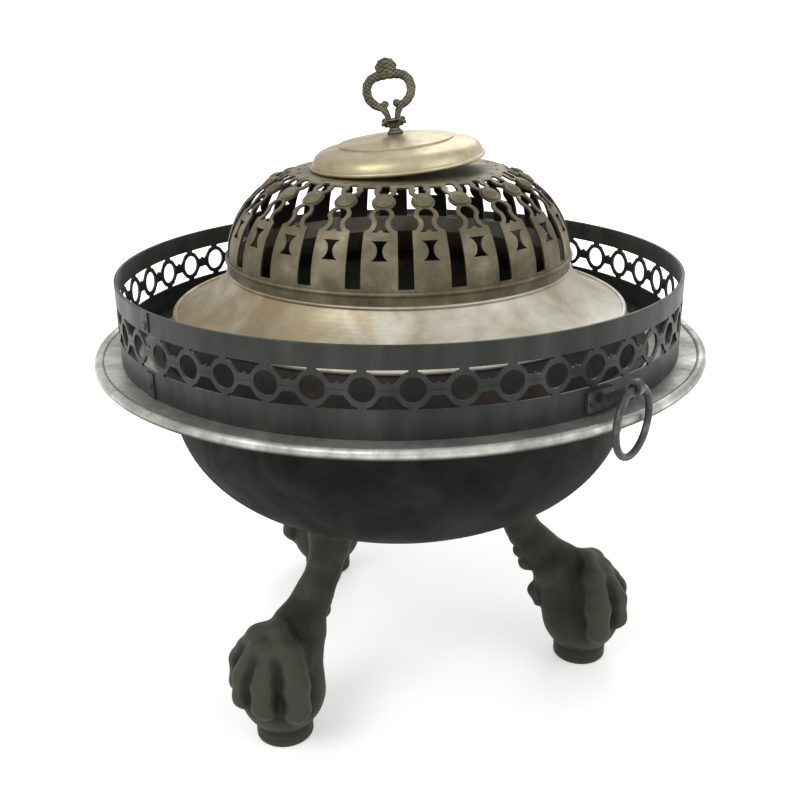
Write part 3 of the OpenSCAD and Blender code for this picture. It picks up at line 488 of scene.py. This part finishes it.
def frieze_ribbon(side):
    """The upper (1) or lower (-1) half of the frieze: a box section carried round the axis.

    Its inner edge follows the holes and its outer edge the rings, and its places are close together where
    those turn sharply.
    """
    pitch = 2 * np.pi * BAND_R / RINGS
    arc = RING_HOLE_R * np.sin(np.linspace(0, np.pi / 2, 9))
    corners = [NECK_HALF - 0.05, NECK_HALF + 0.05, 6.7, SHOULDER[0], 12, BRIDGE_START[0]]
    bump_arc = pitch / 2 - BUMP_R * np.sin(np.linspace(0.08, np.pi / 2, 5))
    steps = np.unique(np.round(np.concatenate([arc, corners, bump_arc]), 3))
    u = np.concatenate([-steps[:0:-1], steps])
    inner = ring_opening(u)
    outer = ring_outline(u, pitch, side > 0)
    bearing = np.radians(RING_BEARING + 360 / RINGS * np.arange(RINGS)[:, None]) + u / BAND_R
    v = np.stack([inner, outer, outer, inner], axis=-1) * side + FRIEZE_Z
    r = np.broadcast_to([BAND_R, BAND_R, BAND_R - BAND_T, BAND_R - BAND_T], v.shape)
    section = np.tile(np.stack([r, v], axis=-1), (RINGS, 1, 1, 1)).reshape(-1, 4, 2)
    grid = round_the_axis(section, bearing.reshape(-1, 1))
    return grid.reshape(-1, 3), ring_faces(len(section), 4, closed=True).tolist()


def strip(profile, columns=BAND_COLUMNS):
    """A closed outline of radius and height turned once round the axis."""
    section = np.broadcast_to(np.array(profile, dtype=float), (columns, len(profile), 2))
    angle = np.linspace(0, 2 * np.pi, columns, endpoint=False)[:, None]
    grid = round_the_axis(section, angle)
    return grid.reshape(-1, 3), ring_faces(columns, len(profile), closed=True).tolist()


outer_r, inner_r = BAND_R, BAND_R - BAND_T
upper_z, lower_z = FRIEZE_Z + FRIEZE_HALF, FRIEZE_Z - FRIEZE_HALF
top_strip = strip([(outer_r, upper_z), (outer_r, BAND_TOP_Z - EDGE), (outer_r - EDGE, BAND_TOP_Z),
                   (inner_r - HEM_T + EDGE, BAND_TOP_Z), (inner_r - HEM_T, BAND_TOP_Z - EDGE),
                   (inner_r - HEM_T, BAND_TOP_Z - HEM_H), (inner_r, BAND_TOP_Z - HEM_H), (inner_r, upper_z)])
bottom_strip = strip([(outer_r, BAND_FOOT_Z), (outer_r, lower_z), (inner_r, lower_z),
                      (inner_r, BAND_FOOT_Z + BAND_T), (inner_r - FOOT_W, BAND_FOOT_Z + BAND_T),
                      (inner_r - FOOT_W, BAND_FOOT_Z)])
band_parts = joined([frieze_ribbon(1), frieze_ribbon(-1), top_strip, bottom_strip])
band = make_piece("pierced_band", band_parts, "base", strip_iron, crease=28)
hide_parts("gallery")


# the cast paw legs: a paw that grips a ball on a round pad

def rod(p, a, b, ra, rb, squeeze=1.0):
    """How far points are outside a rod from a to b whose radius runs from ra to rb.

    The distance is to the nearest place along the rod, less the radius there. A squeeze over 1 makes it
    narrower along y.
    """
    scale = np.array([1, squeeze, 1])
    p, a, b = p * scale, np.array(a) * scale, np.array(b) * scale
    along = b - a
    t = np.clip((p - a) @ along / (along @ along), 0, 1)
    return np.linalg.norm(p - a - t[..., None] * along, axis=-1) - (ra + (rb - ra) * t)


def melt(a, b, soft):
    """The lower of two fields, rounded off over a width of soft where they cross."""
    h = np.clip(0.5 + 0.5 * (b - a) / soft, 0, 1)
    return b + (a - b) * h - soft * h * (1 - h)


def chain(p, stations, soft, squeeze=1.0):
    """Rods end to end through stations of x, y, z and radius, melted together."""
    field = None
    for (x1, y1, z1, r1), (x2, y2, z2, r2) in zip(stations[:-1], stations[1:]):
        link = rod(p, (x1, y1, z1), (x2, y2, z2), r1, r2, squeeze)
        field = link if field is None else melt(field, link, soft)
    return field


# in mm from the middle of the foot, with x outwards from the brazier; a station is x, y, height and radius
BALL_Z, BALL_R = 50, 42
PAD_R, PAD_H, PAD_EDGE = 28, 20, 3.5
PAD_GROOVE_Z, PAD_GROOVE_W, PAD_GROOVE_DEPTH = 7.5, 1.2, 0.7
# a toe's line from the instep to its tip: reach, height and radius
TOE_STATIONS = [(2, 112, 14), (20, 103, 15), (32, 90, 13), (38.5, 77, 14.5), (41, 64, 12), (41.5, 53, 13),
                (37, 42, 8)]
# a toe's bearing in degrees, and its shares of the stations' reach and of their height over TOE_MID
TOES = [(-68, 1.02, 1), (-23, 0.92, 0.86), (18, 0.92, 0.86), (62, 1, 1)]
TOE_MID = 76
INSTEP = [(0, 0, 84, 34), (-24, 0, 104, 27)]
HEEL_LOW, HEEL_HIGH = (-14, 0, 68, 31), (-26, 0, 98, 26)
LEG_SHANK = [(-30, 0, 110, 24), (-51, 0, 134, 18.5)]
NECK = [(-50, 0, 130, 18.5), (-67, 0, 152, 16.5), (-77, 0, 176, 19), (-78, 0, 205, 27)]
BACK_CLAW = [(-36, 0, 101, 11), (-42, 0, 89, 8.5), (-50, 0, 75, 8), (-47, 0, 60, 4.5)]
# the knuckles on the back of the shank: x, height and radius
SPURS = [(-60, 110, 10), (-67, 124, 9), (-72, 138, 8)]
LEG_TOP = 196
# the middle line, which the rays leave from
MIDDLE_Z = [0, 60, 84, 98, 108, 118, 128, 140, 152, 162, LEG_TOP]
MIDDLE_X = [0, 0, -4, -13, -22, -32, -43, -57, -67, -73, -78]
RAY_START, RAY_STEPS, RAY_PACE = 96.0, 70, 0.8
STRETCH_FROM = 150 * MM         # above this height the leg is stretched to meet the bowl
LEG_SEAT = 0.3 * MM             # the leg's top stays this far under the bowl


def paw_field(p):
    """How far points are outside the leg: pad, ball, toes, tendons, instep, heel, shank and back claw."""
    field = np.linalg.norm(p - np.array([0, 0, BALL_Z]), axis=-1) - BALL_R
    for bearing, long, high in TOES:
        c, s = np.cos(np.radians(bearing)), np.sin(np.radians(bearing))
        toe = [(long * r * c, long * r * s, TOE_MID + high * (z - TOE_MID), w) for r, z, w in TOE_STATIONS]
        field = melt(field, chain(p, toe, 4), 3)
        tendon = [(16 * c, 20 * s, 107, 3.5), (-4 * c - 16, 10 * s, 119, 3), (-48, 6 * s, 142, 2.5)]
        field = melt(field, chain(p, tendon, 3), 5)
    field = melt(field, chain(p, INSTEP, 6), 7)
    field = melt(field, rod(p, HEEL_HIGH[:3], HEEL_LOW[:3], HEEL_HIGH[3], HEEL_LOW[3]), 6)
    field = melt(field, melt(chain(p, LEG_SHANK, 8, 1.1), chain(p, NECK, 8, 1.05), 8), 8)
    field = melt(field, chain(p, BACK_CLAW, 4), 4)
    for x, z, r in SPURS:
        field = melt(field, np.linalg.norm(p - np.array([x, 0, z]), axis=-1) - r, 4)
    drum = np.stack([np.hypot(p[..., 0], p[..., 1]) - (PAD_R - PAD_EDGE),
                     np.abs(p[..., 2] - PAD_H / 2) - (PAD_H / 2 - PAD_EDGE)], axis=-1)
    pad = np.linalg.norm(np.maximum(drum, 0), axis=-1) + np.minimum(drum.max(axis=-1), 0) - PAD_EDGE
    return melt(field, pad, 2)


def paw_leg_grid(rows=236, columns=184):
    """The leg as rings at rising heights, whose points are where rays from the middle line leave the leg.

    The rays run level, and each is followed inwards from outside by the field's own value until it meets
    the skin. The relief is how far the skin stands out of a blurred copy of itself, from 0 in hollows to
    1 on ridges.
    """
    z = np.linspace(0, LEG_TOP, rows)[:, None] * np.ones(columns)
    middle = np.interp(z, MIDDLE_Z, MIDDLE_X)
    angle = np.linspace(0, 2 * np.pi, columns, endpoint=False)[None, :]
    reach = np.full(z.shape, RAY_START)
    for _ in range(RAY_STEPS):
        p = np.stack([middle + reach * np.cos(angle), reach * np.sin(angle), z], axis=-1)
        reach = np.maximum(reach - RAY_PACE * paw_field(p), 1.0)
    groove = np.exp(-((z - PAD_GROOVE_Z) / PAD_GROOVE_W) ** 2)
    reach = reach - PAD_GROOVE_DEPTH * groove
    blurred = reach.copy()
    for shift in (1, 2, 4, 8):
        blurred = (np.roll(blurred, shift, 1) + np.roll(blurred, -shift, 1) + blurred) / 3
        up = np.concatenate([blurred[shift:], np.repeat(blurred[-1:], shift, 0)])
        down = np.concatenate([np.repeat(blurred[:1], shift, 0), blurred[:-shift]])
        blurred = (up + down + blurred) / 3
    relief = 0.5 + 0.5 * np.tanh((reach - blurred) / 3.5)
    grid = np.stack([middle + reach * np.cos(angle), reach * np.sin(angle), z], axis=-1) * MM
    return grid, relief


def fitted_to_bowl(grid):
    """Stretches the top of the leg so that its last ring lies just under the bowl's sphere.

    A point's share of the stretch is 0 where it starts and 1 at the top, and it goes by a power of 1.5.
    """
    grid = grid + np.array([FOOT_CIRCLE_R, 0, 0])
    under = BOWL_CROWN_Z - np.sqrt(BOWL_CROWN_R ** 2 - grid[..., 0] ** 2 - grid[..., 1] ** 2) - LEG_SEAT
    share = np.clip((grid[..., 2] - STRETCH_FROM) / (LEG_TOP * MM - STRETCH_FROM), 0, 1) ** 1.5
    grid[..., 2] += share * (under - LEG_TOP * MM)
    return grid


leg_grid, leg_relief = paw_leg_grid()
leg_grid = fitted_to_bowl(leg_grid)
leg_marks = np.concatenate([leg_relief.ravel(), [0, 0]])
for name, bearing in LEG_BEARINGS.items():
    points, faces = tube_mesh(leg_grid)
    leg = make_piece("cast_" + name, (turned(points, bearing), faces), "base", leg_iron,
                     {"relief": leg_marks})
    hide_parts(name)


# the cast handle: stem, leaves, two scrolled bars and a shell, in mm from the middle of the cap's top

def cap_matrix():
    """The leaning cap's own frame, with its origin in the middle of the cap's top."""
    low = np.radians(CAP_LOW_BEARING - 90)
    return (Matrix.Rotation(low, 4, "Z") @ Matrix.Translation((0, 0, CAP_Z)) @
            Matrix.Rotation(np.radians(CAP_TILT), 4, "Y") @ Matrix.Rotation(-low, 4, "Z") @
            Matrix.Translation((0, 0, CAP_H)))


def square_to(path):
    """For each point of a path in the x-z plane, the direction in that plane square to the path."""
    ahead = np.gradient(path, axis=0)
    ahead /= np.linalg.norm(ahead, axis=1)[:, None]
    return np.stack([-ahead[:, 2], np.zeros(len(path)), ahead[:, 0]], axis=-1)


def swept(path, radius, columns, flat, ripple):
    """A bar along a path in the x-z plane: its rings stand square to the path, and their radius ripples."""
    angle = np.linspace(0, 2 * np.pi, columns, endpoint=False)
    r = radius[:, None] * ripple(angle)
    across = square_to(path)[:, None] * (r * np.cos(angle))[..., None]
    through = np.array([0, 1, 0]) * (flat * r * np.sin(angle))[..., None]
    return path[:, None] + across + through


def smooth_line(knots, count):
    """A smooth line through knots: a cubic whose slope at a knot follows the two neighbouring knots."""
    knots = np.array(knots, dtype=float)
    ends = np.concatenate([[2 * knots[0] - knots[1]], knots, [2 * knots[-1] - knots[-2]]])
    t = np.linspace(0, len(knots) - 1 - 1e-9, count)
    i = t.astype(int)
    t = (t - i)[:, None]
    p, q, r, s = ends[i], ends[i + 1], ends[i + 2], ends[i + 3]
    return q + 0.5 * t * (r - p + t * (2 * p - 5 * q + 4 * r - s + t * (3 * (q - r) + s - p)))


def lathe(profile, columns=64):
    """A profile of radius and height turned about the z axis."""
    profile = np.array(profile, dtype=float)
    angle = np.linspace(0, 2 * np.pi, columns, endpoint=False)
    return np.stack([profile[:, :1] * np.cos(angle), profile[:, :1] * np.sin(angle),
                     profile[:, 1:] * np.ones(columns)], axis=-1)


# a bar's line from the cup to the top, and a leaf's line: distance from the middle, height and half width
BAR_KNOTS = [(4.6, 10.5, 2.8), (5.0, 17.5, 2.9), (8.4, 24.2, 3.5), (14.4, 27.8, 4.0), (19.4, 33.8, 4.2),
             (20.7, 41.0, 4.3), (18.4, 48.2, 4.3), (12.0, 52.8, 4.3), (0.0, 54.2, 4.2)]
LEAF_KNOTS = [(3.6, 6.0, 1.6), (6.4, 8.2, 3.8), (9.6, 10.8, 4.8), (12.0, 13.0, 3.8), (13.8, 12.4, 2.2),
              (13.8, 10.6, 1.0)]
LEAF_ROWS = 44
SCALE_PITCH = 6.4               # between the scales that lap along the bars
KNOB_X, KNOB_Z, KNOB_R = 5.4, 27.6, 3.5
SHELL_W, SHELL_H, SHELL_T, SHELL_Z = 10.2, 9.2, 2.6, 60  # half sizes, and the height of its middle
SHANK_R, SHANK_LOW, SHANK_EDGE = 3.9, -47.0, 0.6
# the stem's profile of radius and height
STEM = [(0.2, -0.1), (7.3, -0.1), (7.6, 0.6), (7.4, 1.9), (6.8, 2.9), (5.8, 3.6), (5.2, 4.6), (4.8, 5.8),
        (5.4, 6.6), (6.6, 7.2), (7.0, 8.0), (6.6, 8.8), (5.4, 9.4), (5.0, 10.2), (5.9, 11.4), (6.9, 12.6),
        (6.8, 13.6), (5.2, 14.2), (0.2, 14.4)]


def bar_half(side):
    """Half of the loop: a bar from the cup, out and over to the top, with scales that lap along it."""
    line = smooth_line(BAR_KNOTS, 150)
    path = np.stack([side * line[:, 0], np.zeros(len(line)), line[:, 1]], axis=-1)
    run = np.concatenate([[0], np.cumsum(np.linalg.norm(np.diff(path, axis=0), axis=1))])

    def scales(angle):
        """A scale's share of the radius: it rises along the scale and drops at its tip, with six ridges."""
        tilt = 2.2 * np.abs(np.sin(angle))
        step = (run[:, None] / SCALE_PITCH + tilt[None, :] * 0.22) % 1
        return 0.93 + 0.16 * step * (1 - step ** 6) + 0.03 * np.cos(6 * angle)

    return tube_mesh(swept(path, line[:, 2], 36, 0.92, scales))


def knob(side):
    """A scroll's end: a ball whose radius dips by a tenth along a spiral, mirrored from side to side."""
    lat = np.linspace(-np.pi / 2, np.pi / 2, 32)[1:-1, None]
    lon = np.linspace(0, 2 * np.pi, 36, endpoint=False)[None, :]
    bulge = KNOB_R * (1 - 0.10 * np.cos(6 * lat + side * lon))
    grid = np.stack([side * KNOB_X + bulge * np.cos(lat) * np.cos(lon),
                     bulge * np.sin(lat) * np.ones_like(lon),
                     KNOB_Z + bulge * np.cos(lat) * np.sin(lon)], axis=-1)
    return tube_mesh(grid)


def scallop():
    """A shell: a fan whose rim is scalloped and whose two faces rise in ribs that run up from its hinge.

    Its outline is an ellipse drawn in towards the hinge. It is thickest in the middle, by the sine of
    the latitude.
    """
    around = np.linspace(0, 2 * np.pi, 180, endpoint=False)[None, :]
    lat = np.linspace(-np.pi / 2, np.pi / 2, 30)[1:-1, None]
    x = np.cos(lat) * np.sin(around)
    up = np.cos(lat) * np.cos(around)
    x = x * np.where(up < 0, 1 - 0.45 * up ** 2, 1)
    fan = np.arctan2(x, up + 1.15)
    rib = np.cos(fan * 20)
    rim = 1 + 0.035 * rib * np.cos(lat)
    thick = np.sin(lat) * (SHELL_T + 0.55 * rib * np.cos(lat) ** 0.5)
    grid = np.stack([SHELL_W * x * rim, thick, SHELL_Z + SHELL_H * up * rim], axis=-1)
    return tube_mesh(grid)


def leaf(bearing):
    """A leaf that curls out from the stem and droops at its tip.

    It is a flat bar along a smooth line. Its half width swells, shrinks and waves in lobes. It is cupped
    by the square of the distance from its middle, where a vein stands up.
    """
    line = smooth_line(LEAF_KNOTS, LEAF_ROWS)
    path = np.stack([line[:, 0], np.zeros(len(line)), line[:, 1]], axis=-1)
    angle = np.linspace(0, 2 * np.pi, 40, endpoint=False)
    lobes = 1 + 0.13 * np.cos(np.linspace(0, 5 * 2 * np.pi, LEAF_ROWS))[:, None]
    width = line[:, 2:3] * lobes * np.sin(angle)
    cup = 0.10 * width ** 2
    vein = 0.5 * np.exp(-(width / 0.7) ** 2)
    thick = 0.75 * np.cos(angle) + vein - cup
    raised = square_to(path)[:, None] * thick[..., None]
    grid = path[:, None] + raised + np.array([0, 1, 0]) * width[..., None]
    points, faces = tube_mesh(grid)
    return turned(points, bearing), faces


cap_frame = np.array(cap_matrix())


def on_cap(points_mm):
    """Points in mm from the middle of the cap's top, leaned a little to the left, in the part's frame."""
    lean = np.array(Matrix.Rotation(np.radians(-HANDLE_LEAN), 3, "Y"))
    return points_mm @ lean.T * MM @ cap_frame[:3, :3].T + cap_frame[:3, 3]


handle_parts = [tube_mesh(lathe(smooth_line(STEM, 90))), bar_half(1), bar_half(-1), scallop(),
                knob(1), knob(-1)]
handle_parts += [leaf(135 + 90 * k) for k in range(4)]
handle_shank = [(SHANK_R, -0.1), (SHANK_R, SHANK_LOW), (3.4, SHANK_LOW - SHANK_EDGE)]
handle_parts.append(tube_mesh(lathe(handle_shank, 40)))
handle_points, handle_faces = joined(handle_parts)
# the patina's blotches: a wave up the handle times a wave outwards
level = handle_points[:, 2]
from_middle = np.hypot(handle_points[:, 0], handle_points[:, 1])
handle_relief = 0.5 + 0.2 * np.sin(level * 1.7) * np.cos(from_middle * 1.3)
handle = make_piece("cast_handle", (on_cap(handle_points), handle_faces), "lid", cast_brass,
                    {"relief": handle_relief})
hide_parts("handle")


# the domed bosses on the dome's panels; the profile is of radius and height over the sheet, in mm

BOSS = [(8.95, -0.2), (8.9, 0.7), (8.5, 1.4), (7.8, 1.8), (7.1, 1.72), (6.4, 1.5), (5.9, 1.6), (5.4, 2.1),
        (4.4, 2.7), (3.0, 3.15), (1.5, 3.35), (0.15, 3.4)]


def dome_frame(along, bearing):
    """A frame on the dome, with x across, y up the sheet and z out of it, and its place.

    The place is a length along the sheet from the dome's base, at a bearing. The sheet rises round a
    small circle at the shoulder as far as the join, and round a large one above it.
    """
    rise = along / DOME_SHOULDER_R if along < DOME_SHOULDER_R * DOME_JOIN else (
        DOME_JOIN + (along - DOME_SHOULDER_R * DOME_JOIN) / DOME_CROWN_R)
    r = DOME_CROWN_R * np.cos(rise)
    z = DOME_Z - DOME_DROP + DOME_CROWN_R * np.sin(rise)
    a = np.radians(bearing - 90)
    out = np.array([np.cos(a) * np.cos(rise), np.sin(a) * np.cos(rise), np.sin(rise)])
    across = np.array([-np.sin(a), np.cos(a), 0])
    axes = np.stack([across, np.cross(out, across), out], axis=-1)
    return axes, np.array([r * np.cos(a), r * np.sin(a), z])


boss_parts = []
for k in range(PANELS):
    axes, place = dome_frame(BOSS_AT, PANEL_BEARING + 360 * k / PANELS)
    points, faces = tube_mesh(lathe(smooth_line(BOSS, 26), 40))
    boss_parts.append((points * MM @ axes.T + place, faces))
bosses = make_piece("dome_bosses", joined(boss_parts), "lid", dome_brass)


# floor, light and camera

FLOOR_NEAR, FLOOR_FAR = 0.7, 2.4    # the distances from the axis over which the board's glow comes up
FLOOR_GLOW = 0.38                   # the glow near the object, where its shadow falls
FLOOR_HALF = 40


def seen_directly(tree):
    """1 where the camera, a reflection or a refraction looks, and 0 for the light that falls on things."""
    ray = add(tree, "LightPath").outputs
    both = add(tree, "Math", {"operation": "ADD", "use_clamp": True}, _0=ray["Is Camera Ray"],
               _1=ray["Is Glossy Ray"])
    return add(tree, "Math", {"operation": "ADD", "use_clamp": True}, _0=both.outputs[0],
               _1=ray["Is Transmission Ray"]).outputs[0]


def white_board():
    """Matt white board: white to the camera and in reflections, and it keeps the object's soft shadow."""
    material, tree, shader, where = new_material("white_board")
    distance = add(tree, "VectorMath", {"operation": "LENGTH"}, _0=where)
    glow = add(tree, "MapRange", {"interpolation_type": "SMOOTHSTEP"}, Value=distance.outputs["Value"],
               From_Min=FLOOR_NEAR, From_Max=FLOOR_FAR, To_Min=FLOOR_GLOW, To_Max=1.0)
    shown = add(tree, "Math", {"operation": "MULTIPLY"}, _0=glow.outputs["Result"], _1=seen_directly(tree))
    tree.links.new(shown.outputs[0], shader.inputs["Emission Strength"])
    shader.inputs["Emission Color"].default_value = linear("#ffffff")
    shader.inputs["Base Color"].default_value = linear("#f4f4f2")
    shader.inputs["Roughness"].default_value = 0.9
    return material


floor_mesh = bpy.data.meshes.new("floor")
corners = [(-FLOOR_HALF, -FLOOR_HALF, 0), (FLOOR_HALF, -FLOOR_HALF, 0), (FLOOR_HALF, FLOOR_HALF, 0),
           (-FLOOR_HALF, FLOOR_HALF, 0)]
floor_mesh.from_pydata(corners, [], [(0, 1, 2, 3)])
floor_mesh.materials.append(white_board())
floor = bpy.data.objects.new("floor", floor_mesh)
bpy.context.scene.collection.objects.link(floor)

world = bpy.data.worlds.new("studio")
bpy.context.scene.world = world
world.use_nodes = True
sky = world.node_tree
sky.nodes.clear()
strength = add(sky, "MapRange", Value=seen_directly(sky), To_Min=0.62, To_Max=1.0)
background = add(sky, "Background", Color=linear("#ffffff"), Strength=strength.outputs["Result"])
add(sky, "OutputWorld", Surface=background.outputs["Background"])


def softbox(name, place, aim, size, watts):
    """A square area lamp at a place, turned towards a point."""
    data = bpy.data.lights.new(name, "AREA")
    data.size = size
    data.energy = watts
    lamp = bpy.data.objects.new(name, data)
    bpy.context.scene.collection.objects.link(lamp)
    back = np.array(place, dtype=float) - np.array(aim, dtype=float)
    back /= np.linalg.norm(back)
    right = np.cross([0, 0, 1], back)
    right /= np.linalg.norm(right)
    lamp.matrix_world = Matrix(np.block([[np.stack([right, np.cross(back, right), back], axis=-1),
                                          np.array(place, dtype=float)[:, None]],
                                         [np.zeros((1, 3)), np.ones((1, 1))]]).tolist())


softbox("key", (-1.6, -1.8, 2.6), (0, 0, 0.35), 1.6, 42)
softbox("fill", (2.2, -1.2, 1.8), (0, 0, 0.35), 1.8, 16)
softbox("rim", (0.6, 2.2, 2.2), (0, 0, 0.4), 1.6, 20)

# the camera stands where the photo was taken from, as the ellipses of the round parts show
CAMERA_RIGHT = (0.999916, -0.003925, -0.012389)
CAMERA_UP = (0.012974, 0.356531, 0.934194)
CAMERA_BACK = (0.00075, -0.934275, 0.356552)
CAMERA_PLACE = (0.0, -1.01617, 0.68)
camera_data = bpy.data.cameras.new("camera")
camera_data.lens = 47.10
camera_data.sensor_width = 36
camera = bpy.data.objects.new("camera", camera_data)
bpy.context.scene.collection.objects.link(camera)
camera_frame = [CAMERA_RIGHT, CAMERA_UP, CAMERA_BACK, CAMERA_PLACE]
camera.matrix_world = Matrix([[column[i] for column in camera_frame] for i in range(3)] + [[0, 0, 0, 1]])
bpy.context.scene.camera = camera
bpy.context.scene.view_settings.view_transform = "Standard"
